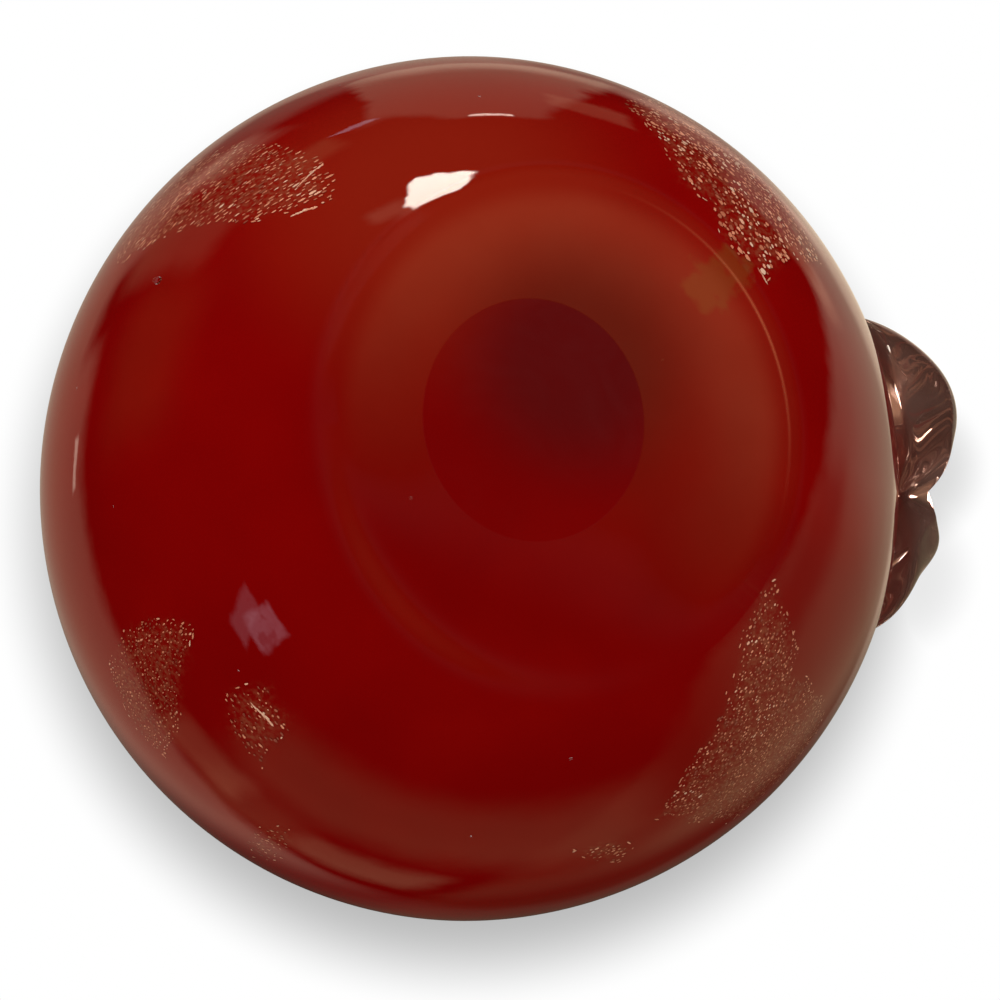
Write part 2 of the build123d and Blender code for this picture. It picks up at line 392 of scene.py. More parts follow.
def spread_flecks(node, sheet_faces, centre, verts, faces, shines):
    """Adds flecks all over the outer faces of a sheet with a clear gap round each, and how each shines."""
    outward = (centre - body_middle).normalized()
    way, gap, stretch, mean_length, mean_width, mean_shine, recess = sheet_flecks.get(node, plain_flecks)
    drawn, beside = leaf_axes(outward, way)
    areas = [((c[1] - c[0]).cross(c[2] - c[0])).length / 2 for c in sheet_faces]
    taken = {}
    tries = int(9 * sum(areas) / gap**2)
    for corners in fleck_dice.choices(sheet_faces, areas, k=tries):
        a, b = fleck_dice.random(), fleck_dice.random()
        if a + b > 1:
            a, b = 1 - a, 1 - b
        point = corners[0] + (corners[1] - corners[0]) * a + (corners[2] - corners[0]) * b
        spot = point - centre
        flat = (spot.dot(drawn) / (gap * stretch), spot.dot(beside) / gap)
        cell = (math.floor(flat[0]), math.floor(flat[1]))
        near = [taken.get((cell[0] + i, cell[1] + j), ()) for i in (-1, 0, 1) for j in (-1, 0, 1)]
        spacing = fleck_dice.uniform(0.55, 1.0)
        if any(math.dist(flat, other) < spacing for group in near for other in group):
            continue
        taken.setdefault(cell, []).append(flat)
        ragged = recess * (1 + 2 * noise.noise(point * 330))
        if fleck_dice.random() < 0.22 or torn_near.find(point)[2] < ragged:
            continue
        out = (corners[1] - corners[0]).cross(corners[2] - corners[0]).normalized()
        if out.dot(outward) < 0:
            out = -out
        along = (drawn - out * drawn.dot(out)).normalized()
        size = fleck_dice.choice((0.6, 0.75, 0.9, 1.0, 1.15, 1.5))
        half_length = mean_length * size * fleck_dice.uniform(0.8, 1.2)
        half_width = mean_width * size * fleck_dice.uniform(0.8, 1.2)
        middle = point - out * fleck_depth
        fleck_prism(verts, faces, middle, along, out.cross(along), out, half_length, half_width)
        clump = noise.noise(point * 260)
        shine = min(1, max(0, mean_shine + 0.55 * clump + fleck_dice.uniform(-0.38, 0.38)))
        shines += [shine] * (len(faces) - len(shines))


def rim_flecks(sheet_faces, centre, verts, faces, shines):
    """Adds the few flecks that are left along the torn rim of a sheet."""
    for start, end in torn_edge(sheet_faces):
        length = (end - start).length
        if length < 0.0003:
            continue
        along = (end - start) / length
        out = ((start + end) / 2 - body_middle).normalized()
        out = (out - along * out.dot(along)).normalized()
        inward = centre - start
        inward = (inward - along * inward.dot(along) - out * inward.dot(out)).normalized()
        pieces = max(1, round(length / rim_fleck_gap))
        for part in range(pieces):
            if fleck_dice.random() < 0.84:
                continue
            place = (part + fleck_dice.uniform(0.2, 0.8)) / pieces
            point = start.lerp(end, place) + inward * fleck_dice.uniform(0.0, 0.0005) - out * fleck_depth
            half_length = fleck_dice.uniform(0.0002, 0.0005)
            fleck_prism(verts, faces, point, along, out.cross(along), out, half_length, 0.00012)
            shines += [fleck_dice.uniform(0.35, 0.95)] * (len(faces) - len(shines))


def fold_flecks(node, verts, faces, shines):
    """Adds the bright folds of a sheet, each a bowed row of flecks on the ruby wall."""
    for azimuth, latitude, fold_way, length in sheet_folds.get(node, ()):
        out = from_middle(azimuth, latitude)
        along, across = leaf_axes(out, fold_way)
        pieces = round(length / fold_fleck_gap)
        for part in range(pieces):
            bow = 0.0002 * math.sin(3 * part / pieces) + fleck_dice.uniform(-0.00006, 0.00006)
            aim = body_middle + out * 0.06 + along * (length * (part / pieces - 0.5)) + across * bow
            point = on_ruby((aim - body_middle).normalized())
            half_width = fleck_dice.uniform(0.7, 1.3) * (0.00011 + 0.00014 * part / pieces)
            fleck_prism(verts, faces, point, along, across, out, fold_fleck_gap, half_width, 0)
            shines += [fleck_dice.uniform(0.8, 1.0)] * (len(faces) - len(shines))


gold_pieces = []
for node in gold_nodes:
    sheet_faces = gold_outer_faces[node]
    centre = sum((c for corners in sheet_faces for c in corners), Vector()) / sum(len(c) for c in sheet_faces)
    verts, faces, shines = [], [], []
    spread_flecks(node, sheet_faces, centre, verts, faces, shines)
    rim_flecks(sheet_faces, centre, verts, faces, shines)
    fold_flecks(node, verts, faces, shines)
    flecks = flat_piece(node.replace("gold_leaf", "gold_flecks"), verts, faces)
    flecks.data.attributes.new("shine", "FLOAT", "FACE").data.foreach_set("value", shines)
    gold_pieces.append(flecks)
    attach(flecks, "root")
    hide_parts(node)

gold_tree = new_finish("gold_leaf", *gold_pieces)
fleck_shine = put(gold_tree, "ShaderNodeAttribute", {}, attribute_name="shine").outputs["Fac"]
gold_colour = colour_steps(
    gold_tree,
    fleck_shine,
    (0.0, (0.34, 0.055, 0.024)),
    (0.4, (0.66, 0.19, 0.09)),
    (0.75, (1.0, 0.38, 0.21)),
    (1.0, (1.0, 0.64, 0.44)),
)
gold_shader = put(
    gold_tree,
    "ShaderNodeBsdfPrincipled",
    {"Base Color": gold_colour, "Metallic": 0.25, "Roughness": 0.4},
)
put(gold_tree, "ShaderNodeOutputMaterial", {"Surface": gold_shader.outputs["BSDF"]})

# Clear casing
# The thick coat of clear glass gathered over the gilded bubble. It is fire-polished, with the slight
# waves and seed bubbles of hand work, ground flat underneath and polished hollow at the pontil mark.
casing_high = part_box("clear_casing")[1]
casing_thickness = casing_high.x - ruby_high.x
casing_seat = 0.0001
facet_radius = 0.030
facet_middle = (0.0005, 0.0008)
facet_reach = (0.0279, 0.0304)
pontil_depth = 0.0015
pontil_middle = (-0.0031, -0.0004)
pontil_reach = (0.0133, 0.0144)
casing_turns = 240
base_band = 0.003
wave_start = 0.012
wave_depth = 0.00005
back_slimness = 0.0009
side_reach = casing_high.x - facet_radius
side_radius = (side_reach**2 + equator_height**2) / (2 * side_reach)


def facet_edge(angle):
    """How far the ground base reaches from the axis at an angle."""
    x = facet_middle[0] + facet_reach[0] * math.cos(angle)
    y = facet_middle[1] + facet_reach[1] * math.sin(angle)
    return math.hypot(x, y)


def edge_rounding(angle):
    """The rounding of the ground edge, crisp where the wheel left it last and melted soft elsewhere."""
    off = abs((math.degrees(angle) + 32 + 180) % 360 - 180)
    return 0.0004 + 0.0013 * smooth_share(30, 70, off)


def side_distance(angle, height):
    """How far the outer wall is from the axis at a height below the equator."""
    arc = casing_high.x - side_radius + math.sqrt(side_radius**2 - (equator_height - height) ** 2)
    return arc - (facet_radius - facet_edge(angle)) * max(0, 1 - height / 0.009) ** 2


def pontil_point(share, angle):
    """A point of the polished hollow, at a share of its reach."""
    x = pontil_middle[0] + pontil_reach[0] * share * math.cos(angle)
    y = pontil_middle[1] + pontil_reach[1] * share * math.sin(angle)
    return (x, y, pontil_depth * (1 - share * share))


def flat_point(share, angle):
    """A point of the flat ground face, from the rim of the hollow at 0 to the rounded edge at 1."""
    rim = pontil_point(1.012, angle)
    edge = facet_edge(angle) - edge_rounding(angle)
    x = rim[0] + (edge * math.cos(angle) - rim[0]) * share
    y = rim[1] + (edge * math.sin(angle) - rim[1]) * share
    return (x, y, 0)


def edge_point(share, angle):
    """A point of the rounded edge between the ground face and the side."""
    edge, rounding = facet_edge(angle), edge_rounding(angle)
    top = 0.45 * rounding
    start, first_pull = (edge - rounding, 0), (edge - 0.35 * rounding, 0)
    second_pull, end = (side_distance(angle, 0.25 * top), 0.25 * top), (side_distance(angle, top), top)
    distance, height = bend_point((start, first_pull, second_pull, end), share)
    return (distance * math.cos(angle), distance * math.sin(angle), height)


def side_point(share, angle):
    """A point of the lower side, from the rounded edge at 0 up to the equator at 1."""
    foot = math.asin((equator_height - 0.45 * edge_rounding(angle)) / side_radius)
    height = equator_height - side_radius * math.sin(foot * (1 - share))
    distance = side_distance(angle, height)
    return (distance * math.cos(angle), distance * math.sin(angle), height)


skin_rows = [(0, pontil_depth, pontil_middle)]
skin_rows += [partial(pontil_point, 1 - (1 - step / 24) ** 1.4) for step in range(1, 25)]
skin_rows += [partial(flat_point, smooth_share(0, 20, step)) for step in range(21)]
skin_rows += [partial(edge_point, step / 8) for step in range(1, 9)]
skin_rows += [partial(side_point, step / 90) for step in range(1, 91)]
skin_rows += shoulder(casing_high.x, casing_high.z, 70)
skin_rows += stem_hollow(casing_high.z, 44)
skin_points = 1 + casing_turns * (len(skin_rows) - 1)
seat_radius = ruby_high.x - casing_seat
skin_rows += stem_hollow(ruby_high.z - casing_seat, 24)[::-1]
skin_rows += shoulder(seat_radius, ruby_high.z - casing_seat, 40)[::-1]
skin_rows += underside(seat_radius, ruby_low.z + casing_seat, 60)[::-1]
skin_rows += [(0, ruby_low.z + casing_seat)]
casing = spin("clear_casing_glass", skin_rows, casing_turns)


def ground_haze_and_glint(spot):
    """How clouded the ground face is at a point: most on the side towards the front, with a clearer rim and a
    band of more clouding along the rim on one side. It also carries a painted highlight: a bright line along
    the crisp part of the ground edge.
    """
    x, y = spot.x - facet_middle[0], spot.y - facet_middle[1]
    out = math.hypot(x / facet_reach[0], y / facet_reach[1])
    side = smooth_share(-0.75, 0.7, (0.342 * x - 0.94 * y) / facet_radius)
    body = side * (0.5 + 0.5 * smooth_share(0.5, 0.85, out)) * (1 - 0.7 * smooth_share(0.88, 1.0, out))
    off = (math.degrees(math.atan2(y, x)) - 135) / 35
    ring = 0.24 * math.exp(-(((out - 0.99) / 0.05) ** 2) - off * off)
    # Painted highlight: a bright line along the crisp part of the ground edge, put in as extra clouding.
    off = (math.degrees(math.atan2(y, x)) + 30) / 26
    glint = 2.6 * math.exp(-(((out - 0.998) / 0.006) ** 2) - off * off)
    return (body + ring + glint) * (1 - smooth_share(1.02, 1.10, out))


wave_dice = random.Random(7)
waves = []
for count in (2, 3, 3, 4, 5, 7):
    rate, start, size = wave_dice.uniform(40, 110), wave_dice.uniform(0, 6.3), wave_dice.uniform(0.5, 1.0)
    waves.append((count, rate, start, size / count))
haze_and_glint_values = []
bloom_values = []
for vert in casing.data.vertices:
    spot = vert.co.copy()
    distance = math.hypot(spot.x, spot.y)
    outer = vert.index < skin_points
    x, y = (spot.x - pontil_middle[0]) / pontil_reach[0], (spot.y - pontil_middle[1]) / pontil_reach[1]
    on_base = outer and spot.z < base_band
    in_hollow = on_base and math.hypot(x, y) < 1.001
    haze_and_glint_values.append(ground_haze_and_glint(spot) if on_base and not in_hollow else 0.0)
    bloom_values.append(0.25 + 0.75 * smooth_share(-0.6, 0.6, 0.5 * x - 0.87 * y) if in_hollow else 0.0)
    if outer and distance > wave_start and spot.z > 0.0008:
        angle = math.atan2(spot.y, spot.x)
        fade = min(1, spot.z / 0.02) * min(1, (distance - wave_start) / 0.02)
        wave = sum(s * math.sin(count * angle + spot.z * rate + start) for count, rate, start, s in waves)
        slim = back_slimness * max(0, -math.cos(angle)) ** 1.5
        inward = fade * (wave_depth * (wave + 1.4) + slim)
        vert.co = spot - (spot - body_middle).normalized() * inward
casing.data.attributes.new("haze_and_glint", "FLOAT", "POINT").data.foreach_set("value", haze_and_glint_values)
casing.data.attributes.new("bloom", "FLOAT", "POINT").data.foreach_set("value", bloom_values)

# For each seed bubble: its azimuth and latitude, its depth as a share of the casing, its radius and how
# long it is drawn. The rest are strewn.
seed_dice = random.Random(23)
seed_turns = 14
seed_rings = 9
seeds = [
    (-156.1, -30.5, 0.55, 0.00055, 1.5),
    (152.6, -67.2, 0.35, 0.00022, 1.0),
    (84.1, -46.8, 0.40, 0.00024, 1.1),
    (-33.3, -70.7, 0.45, 0.00018, 1.0),
]
for _ in range(26):
    azimuth = seed_dice.uniform(-180, 180)
    latitude = seed_dice.choice((-1, 1, 1)) * seed_dice.uniform(4, 42)
    seeds.append((azimuth, latitude, seed_dice.uniform(0.3, 0.8), seed_dice.uniform(0.00009, 0.0002), 1.2))


def ring_faces(rings, turns, first=0):
    """The faces between rings of points that follow each other."""
    faces = []
    for ring in range(rings - 1):
        for turn in range(turns):
            a = first + ring * turns + turn
            b = first + ring * turns + (turn + 1) % turns
            faces.append([a, b, b + turns, a + turns])
    return faces


seed_verts = []
seed_faces = []
for azimuth, latitude, depth, radius, length in seeds:
    out = from_middle(azimuth, latitude)
    middle = on_ruby(out) + out * casing_thickness * depth
    seed_faces += ring_faces(seed_rings, seed_turns, len(seed_verts))
    east = Vector((-math.sin(math.radians(azimuth)), math.cos(math.radians(azimuth)), 0))
    up = out.cross(east)
    for ring in range(seed_rings):
        polar = math.pi * ring / (seed_rings - 1)
        for turn in range(seed_turns):
            spin_angle = 2 * math.pi * turn / seed_turns
            flat = (east * math.cos(spin_angle) + out * math.sin(spin_angle)) * radius
            seed_verts.append(middle + flat * math.sin(polar) + up * radius * length * math.cos(polar))
seed_bubbles = smooth_piece("seed_bubbles", seed_verts, seed_faces)

casing_tree = new_finish("clear_glass", casing, seed_bubbles)
casing_place = put(casing_tree, "ShaderNodeTexCoord", {}).outputs["Object"]
haze_and_glint_share = put(casing_tree, "ShaderNodeAttribute", {}, attribute_name="haze_and_glint").outputs["Fac"]
bloom_share = put(casing_tree, "ShaderNodeAttribute", {}, attribute_name="bloom").outputs["Fac"]
wear = clouds(casing_tree, casing_place, 70, 4, 0.55)["Fac"]
streaks = clouds(casing_tree, casing_place, 120, 3, 0.5, 2.5)["Fac"]
haze_and_glint_strength = spread_over(casing_tree, wear, 0.25, 0.75, 0.090, 0.124)
haze_and_glint = worked(casing_tree, "MULTIPLY", haze_and_glint_share, haze_and_glint_strength)
bloom_amount = spread_over(casing_tree, streaks, 0.3, 0.7, 0.0016, 0.0036)
bloom = worked(casing_tree, "MULTIPLY", bloom_share, bloom_amount)
clearness = worked(casing_tree, "SUBTRACT", 1.0, worked(casing_tree, "ADD", haze_and_glint, bloom))
# Where the ground face is clouded, and along the painted highlight line of its edge, the glass turns a matt
# orange.
haze_and_glint_mask = spread_over(casing_tree, haze_and_glint_share, 0.0, 0.12, 0.0, 1.0)
casing_tint = blended(casing_tree, haze_and_glint_mask, (0.97, 0.96, 0.95, 1), (0.95, 0.27, 0.113, 1))
rubbed = spread_over(casing_tree, wear, 0.3, 0.7, 0.02, 0.07)
casing_shader = put(
    casing_tree,
    "ShaderNodeBsdfPrincipled",
    {
        "Base Color": casing_tint,
        "Roughness": worked(casing_tree, "MULTIPLY", haze_and_glint_mask, rubbed),
        "IOR": 1.5,
        "Transmission Weight": clearness,
    },
)
put(casing_tree, "ShaderNodeOutputMaterial", {"Surface": casing_shader.outputs["BSDF"]})
with bpy.context.temp_override(active_object=casing, selected_editable_objects=[casing, seed_bubbles]):
    bpy.ops.object.join()
casing.visible_shadow = False
casing.visible_diffuse = False
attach(casing, "root")
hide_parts("clear_casing")

# Stem
# A gather of smoky plum glass dropped on the blow hole, drawn up while hot, bent over and cut off.
# Its root fills the hole, its foot is melted to the stem hollow, and fine twisted ribs run up it.
stem_length = 0.043
stem_bend = stem_length / math.radians(30)
stem_heading = math.radians(168)
stem_foot = casing_high.z - hollow_depth
stem_side = Vector((math.cos(stem_heading), math.sin(stem_heading), 0))
collar_radius = 0.00725
stem_sizes = [
    (-0.0015, 0.0110),
    (0.18 * stem_length, collar_radius),
    (0.55 * stem_length, 0.00525),
    (stem_length, 0.0070),
]
stem_turns = 96
root_depth = 0.007
root_radius = hole_radius - 0.00005
foot_rim = 0.0104
stem_gap = 0.00003
tip_round = 0.0048
shaft_start = 0.0012
stem_end = stem_length - 0.0006
stem_ribs = 9
stem_rib_height = 0.00016
stem_pinch = 0.00035


def through(knots, place):
    """The value at a place on a smooth line through knots of place and value."""
    k = 0
    while k < len(knots) - 2 and place > knots[k + 1][0]:
        k += 1

    def slope(i):
        low, high = max(i - 1, 0), min(i + 1, len(knots) - 1)
        return (knots[high][1] - knots[low][1]) / (knots[high][0] - knots[low][0])

    (x0, y0), (x1, y1) = knots[k], knots[k + 1]
    run = x1 - x0
    t = (place - x0) / run
    start = (1 + 2 * t) * (1 - t) ** 2 * y0 + t * (1 - t) ** 2 * run * slope(k)
    return start + t * t * (3 - 2 * t) * y1 + t * t * (t - 1) * run * slope(k + 1)


hollow_rows = sorted(stem_hollow(casing_high.z, 200))


def hollow_height(distance):
    """The height of the stem hollow's wall at a distance from the axis."""
    for low, high in zip(hollow_rows, hollow_rows[1:]):
        if low[0] <= distance <= high[0]:
            return low[1] + (high[1] - low[1]) * (distance - low[0]) / (high[0] - low[0])
    return hollow_rows[0][1] if distance < hollow_rows[0][0] else hollow_rows[-1][1]


def stem_ring(length, radius, angle):
    """A point on the stem at a length up from the floor of the hollow."""
    turn = length / stem_bend
    middle = stem_side * (stem_bend * (1 - math.cos(turn)))
    middle = middle + Vector((0, 0, stem_foot + stem_bend * math.sin(turn)))
    up = stem_side * math.sin(turn) + Vector((0, 0, math.cos(turn)))
    across = up.cross(stem_side).normalized()
    ahead = across.cross(up)
    return middle + (ahead * math.cos(angle) + across * math.sin(angle)) * radius


stem_rows = [("flat", root_radius * share, stem_foot - root_depth) for share in (0.0, 0.5, 0.9)]
stem_rows += [("flat", root_radius, stem_foot - 0.0068 + step * 0.00083) for step in range(9)]
for step in range(9):
    distance = hole_radius + (foot_rim - hole_radius) * step / 8
    stem_rows.append(("flat", distance, hollow_height(distance) + stem_gap))
for step in range(1, 81):
    length = shaft_start + (stem_end - tip_round - shaft_start) * (step / 80)
    stem_rows.append(("bent", length, through(stem_sizes, length)))
tip_radius = through(stem_sizes, stem_end - tip_round)
for step in range(1, 20):
    turn = math.pi / 2 * step / 19
    shrink = (tip_radius + 0.0003) * (1 - 0.62 * (1 - math.cos(turn))) if step < 19 else 0
    stem_rows.append(("bent", stem_end - tip_round + tip_round * math.sin(turn) ** 0.9, shrink))

stem_verts = []
for kind, first_value, second_value in stem_rows:
    for turn in range(stem_turns):
        angle = 2 * math.pi * turn / stem_turns
        if kind == "flat":
            heading = angle + stem_heading
            spot = Vector((first_value * math.cos(heading), first_value * math.sin(heading), second_value))
        else:
            climb = first_value / stem_length
            rib_fade = min(1, max(0, (climb - 0.1) / 0.2))
            rib = math.cos(stem_ribs * (angle + 1.7 * climb)) * stem_rib_height * rib_fade
            pinch = stem_pinch * math.exp(-(((climb - 0.86) / 0.02) ** 2)) if second_value > 0.004 else 0
            spot = stem_ring(first_value, max(0, second_value * (1 + rib / 0.006) - pinch), angle)
        stem_verts.append(spot)
stem = smooth_piece("stem_glass", stem_verts, ring_faces(len(stem_rows), stem_turns))


def mixed_shader(tree, share, first, second):
    """Two shaders mixed by a share."""
    return put(tree, "ShaderNodeMixShader", {"Fac": share, 1: first, 2: second}).outputs["Shader"]


def plum_glass(piece, swirl_scale):
    """Smoky plum glass, a little cloudy, with faint swirls. It lets some of the lamps' light through."""
    tree = new_finish(piece.name.replace("glass", "plum_glass"), piece)
    place = put(tree, "ShaderNodeTexCoord", {}).outputs["Object"]
    tint = colour_steps(
        tree,
        clouds(tree, place, swirl_scale, 2, 0.5, 0.5)["Fac"],
        (0.35, (0.30, 0.155, 0.115)),
        (0.65, (0.60, 0.385, 0.315)),
    )
    glass = put(
        tree,
        "ShaderNodeBsdfPrincipled",
        {"Base Color": tint, "Roughness": 0.02, "IOR": 1.5, "Transmission Weight": 0.88},
    )
    let_through = put(tree, "ShaderNodeBsdfTransparent", {"Color": (0.62, 0.45, 0.40, 1)})
    shade = put(tree, "ShaderNodeLightPath", {}).outputs["Is Shadow Ray"]
    surface = mixed_shader(tree, shade, glass.outputs["BSDF"], let_through.outputs["BSDF"])
    put(tree, "ShaderNodeOutputMaterial", {"Surface": surface})


plum_glass(stem, 90)
stem.visible_diffuse = False
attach(stem, "root")
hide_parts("stem")

# Leaf
# A thick leaf of the same plum glass, laid on hot from the stem's collar and draped over the shoulder.
# It has a full and a thin lobe, a midrib groove and slanting veins pressed in with a ribbed tool.
leaf_left = 0.0284
leaf_right = 0.0186
leaf_full_lobe = 0.0095
leaf_thin_lobe = 0.0062
leaf_groove = 0.0012
leaf_sag = 0.0017
leaf_edge = 0.003
leaf_gap = 0.00004
melting_steps = 22
leaf_tip = 0.0022
vein_slant = 0.75
vein_pitch = 0.0062
vein_width = 0.0008
vein_depth = 0.00032
rib_pitch = 0.00155
rib_depth = 0.00008
# For each place along the leaf, from near 1 at the crest past 0 at the equator: its width and thickness
# as shares of the full ones, and how far it is lifted off the skin.
leaf_stations = [
    (0.98, 0.46, 0.52, -0.0004),
    (0.74, 0.76, 0.62, -0.0004),
    (0.48, 0.96, 0.76, -0.0002),
    (0.24, 1.03, 0.88, 0.0014),
    (0.06, 1.00, 1.03, 0.0025),
    (-0.07, 0.78, 0.96, 0.0027),
    (-0.13, 0.36, 0.62, 0.0025),
]
leaf_top_steps = 96
leaf_bed_steps = 36


def leaf_ring(bed, out, width, thickness, curve, sag=0.0):
    """The outline of the leaf across one place: first over its two lobes, then back along its bed.

    The midrib sags where the leaf stands off the skin.
    """
    left, right = -leaf_left * width, leaf_right * width
    knots = [
        (left, leaf_edge / 2),
        (0.94 * left, 0.68 * leaf_full_lobe),
        (0.76 * left, 1.05 * leaf_full_lobe),
        (0.50 * left, leaf_full_lobe),
        (0.26 * left, 0.55 * leaf_full_lobe),
        (0, leaf_groove - sag / thickness),
        (0.20 * right, 0.22 * leaf_thin_lobe),
        (0.43 * right, leaf_thin_lobe),
        (0.64 * right, 0.62 * leaf_thin_lobe),
        (0.85 * right, 0.48 * leaf_thin_lobe),
        (right, leaf_edge / 2),
    ]
    spread = [0]
    for a, b in zip(knots, knots[1:]):
        spread.append(spread[-1] + math.hypot(b[0] - a[0], (b[1] - a[1]) * thickness))
    acrosses = list(zip(spread, [k[0] for k in knots]))
    heights = list(zip(spread, [k[1] for k in knots]))
    ring = []
    for step in range(leaf_top_steps):
        run = spread[-1] * step / (leaf_top_steps - 1)
        across = through(acrosses, run)
        ring.append((across, through(heights, run) * thickness - across**2 / (2 * curve)))
    for step in range(1, leaf_bed_steps):
        across = right + (left - right) * step / leaf_bed_steps
        edge_share = (across / (right if across > 0 else left)) ** 2
        bed_up = leaf_edge / 2 * thickness * edge_share - sag * max(0, 1 - 9 * edge_share)
        ring.append((across, bed_up - across**2 / (2 * curve)))
    return [bed + Vector((0, across, 0)) + out * up for across, up in ring]


def leaf_station(place, width, thickness, lift):
    """A ring of the leaf at a place on the shoulder, from 0 at the equator to 1 at the crest."""
    p0, p1, p2, p3 = (Vector(pull) for pull in shoulder_pulls(casing_high.x, casing_high.z))
    u = 1 - place
    point = p0 * u**3 + p1 * (3 * u * u * place) + p2 * (3 * u * place * place) + p3 * place**3
    along = ((p1 - p0) * u * u + (p2 - p1) * (2 * u * place) + (p3 - p2) * place * place).normalized()
    out = Vector((along.y, 0, -along.x))
    sag = min(max(lift, 0), leaf_sag)
    return leaf_ring(Vector((point.x, 0, point.y)) + out * lift, out, width, thickness, point.x, sag)


root_pitch = math.radians(55)
root_out = Vector((-math.sin(root_pitch), 0, math.cos(root_pitch)))
root_bed = Vector((collar_radius - 0.0015, 0, stem_foot + 0.009))
leaf_knots = [leaf_ring(root_bed, root_out, 0.22, 0.6, casing_high.x)]
leaf_knots += [leaf_station(*station) for station in leaf_stations]
ring_size = len(leaf_knots[0])
leaf_runs = [0]
for a, b in zip(leaf_knots, leaf_knots[1:]):
    leaf_runs.append(leaf_runs[-1] + sum((p - q).length for p, q in zip(a, b)) / ring_size)
leaf_rows = 150
tip_rows = 8
row_count = leaf_rows + 1 + tip_rows
leaf_tracks = []
for points in zip(*leaf_knots):
    leaf_tracks.append([list(zip(leaf_runs, [point[axis] for point in points])) for axis in (0, 1, 2)])
leaf_verts = []
for row in range(leaf_rows + 1):
    run = leaf_runs[-1] * row / leaf_rows
    leaf_verts += [Vector([through(track, run) for track in tracks]) for tracks in leaf_tracks]
droop = (leaf_verts[-ring_size] - leaf_verts[-2 * ring_size]).normalized()
last_ring = leaf_verts[-ring_size:]
centre = sum(last_ring, Vector()) / ring_size
for row in range(1, tip_rows + 1):
    turn = math.pi / 2 * row / tip_rows
    bulge = droop * leaf_tip * math.sin(turn)
    leaf_verts += [centre + (edge - centre) * math.cos(turn) + bulge for edge in last_ring]
melted = np.array([tuple(vert) for vert in leaf_verts]).reshape(row_count, ring_size, 3)
for step in range(melting_steps):
    beside = np.roll(melted, 1, axis=1) + np.roll(melted, -1, axis=1)
    melted[14:-1] = (2 * melted[14:-1] + beside[14:-1] + (melted[13:-2] + melted[15:])) / 6
leaf_verts = [Vector(vert) for vert in melted.reshape(-1, 3)]
leaf_faces = [corners[::-1] for corners in ring_faces(row_count, ring_size)]
leaf_faces.append(list(range(ring_size)))
leaf = smooth_piece("leaf_glass", leaf_verts, leaf_faces)

skin = BVHTree.FromObject(casing, bpy.context.evaluated_depsgraph_get())
leaf_normals = [vert.normal.copy() for vert in leaf.data.vertices]
for vert in leaf.data.vertices:
    row, i = divmod(vert.index, ring_size)
    if i < leaf_top_steps and row > 12:
        along = leaf_runs[-1] * min(row, leaf_rows) / leaf_rows
        slanted = along - vein_slant * abs(vert.co.y)
        off_vein = (slanted / vein_pitch - round(slanted / vein_pitch)) * vein_pitch
        vein = math.exp(-((off_vein / vein_width) ** 2))
        ribs = 0.5 + 0.5 * math.cos(slanted / rib_pitch * 2 * math.pi)
        rim_fade = min(1, i / 10, (leaf_top_steps - 1 - i) / 10)
        root_fade = min(1, (row - 12) / 16)
        vein_fade = min(1, max(0, (row_count - row - 42) / 30))
        rib_fade = min(1, max(0, (row_count - row - 50) / 50))
        depth = vein_depth * vein * vein_fade + rib_depth * ribs * rib_fade
        vert.co = vert.co - leaf_normals[vert.index] * rim_fade * root_fade * depth
for vert in leaf.data.vertices:
    spot = vert.co
    from_axis = Vector((spot.x, spot.y, 0))
    if from_axis.length > 0.0135 and spot.z < casing_high.z:
        away = (spot - body_middle).normalized()
        wall = skin.ray_cast(body_middle + away * 0.2, -away)
        if wall[0] is not None and (wall[0] - body_middle).length + leaf_gap > (spot - body_middle).length:
            vert.co = wall[0] + away * leaf_gap
plum_glass(leaf, 70)
leaf.visible_diffuse = False
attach(leaf, "root")
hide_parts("leaf")

# Camera
# It looks up at the base from below, as if the apple were held with its underside to the viewer.
camera_right = Vector((0.97456, -0.00055, -0.22412))
camera_up = Vector((-0.03403, -0.98877, -0.14555))
camera_back = camera_right.cross(camera_up).normalized()
camera_place = body_middle + camera_back * 0.4 + camera_right * 0.0046 - camera_up * 0.0014
scene = bpy.context.scene
camera = bpy.data.objects.new("camera", bpy.data.cameras.new("camera"))
scene.collection.objects.link(camera)
camera_axes = Matrix((camera_right, camera_up, camera_back)).transposed()
camera.matrix_world = Matrix.Translation(camera_place) @ camera_axes.to_4x4()
camera.data.lens = 107.1
camera.data.sensor_width = 36.0
camera.data.clip_start = 0.01
scene.camera = camera
scene.view_settings.view_transform = "Standard"

# Floor and room
# A plain pale floor that is seen from above only, in a white studio. Mirrored in the glass, the room
# is dim below and paler and warm above, with a lamp low in front and soft lamps above and below.
floor_radius = 1.6
floor_angles = [i * math.pi / 48 for i in range(96)]
floor_rim = [(floor_radius * math.cos(angle), floor_radius * math.sin(angle), 0) for angle in floor_angles]
floor = flat_piece("floor", floor_rim, [list(range(96))])
floor.location = (0, 0, -0.00002)
floor_tree = new_finish("pale_floor", floor)
floor_place = put(floor_tree, "ShaderNodeTexCoord", {}).outputs["Object"]
floor_reach = put(floor_tree, "ShaderNodeVectorMath", {0: floor_place}, operation="LENGTH").outputs["Value"]
floor_fade = spread_over(floor_tree, floor_reach, 0.12, 0.8, 0.42, 1.0, "SMOOTHSTEP")
floor_matt = put(floor_tree, "ShaderNodeBsdfDiffuse", {"Color": (0.93, 0.925, 0.915, 1)})
floor_white = put(floor_tree, "ShaderNodeEmission", {"Color": (1, 1, 1, 1), "Strength": 1.0})
floor_top = mixed_shader(floor_tree, floor_fade, floor_matt.outputs["BSDF"], floor_white.outputs["Emission"])
floor_below = put(floor_tree, "ShaderNodeBsdfTransparent", {})
floor_side = put(floor_tree, "ShaderNodeNewGeometry", {}).outputs["Backfacing"]
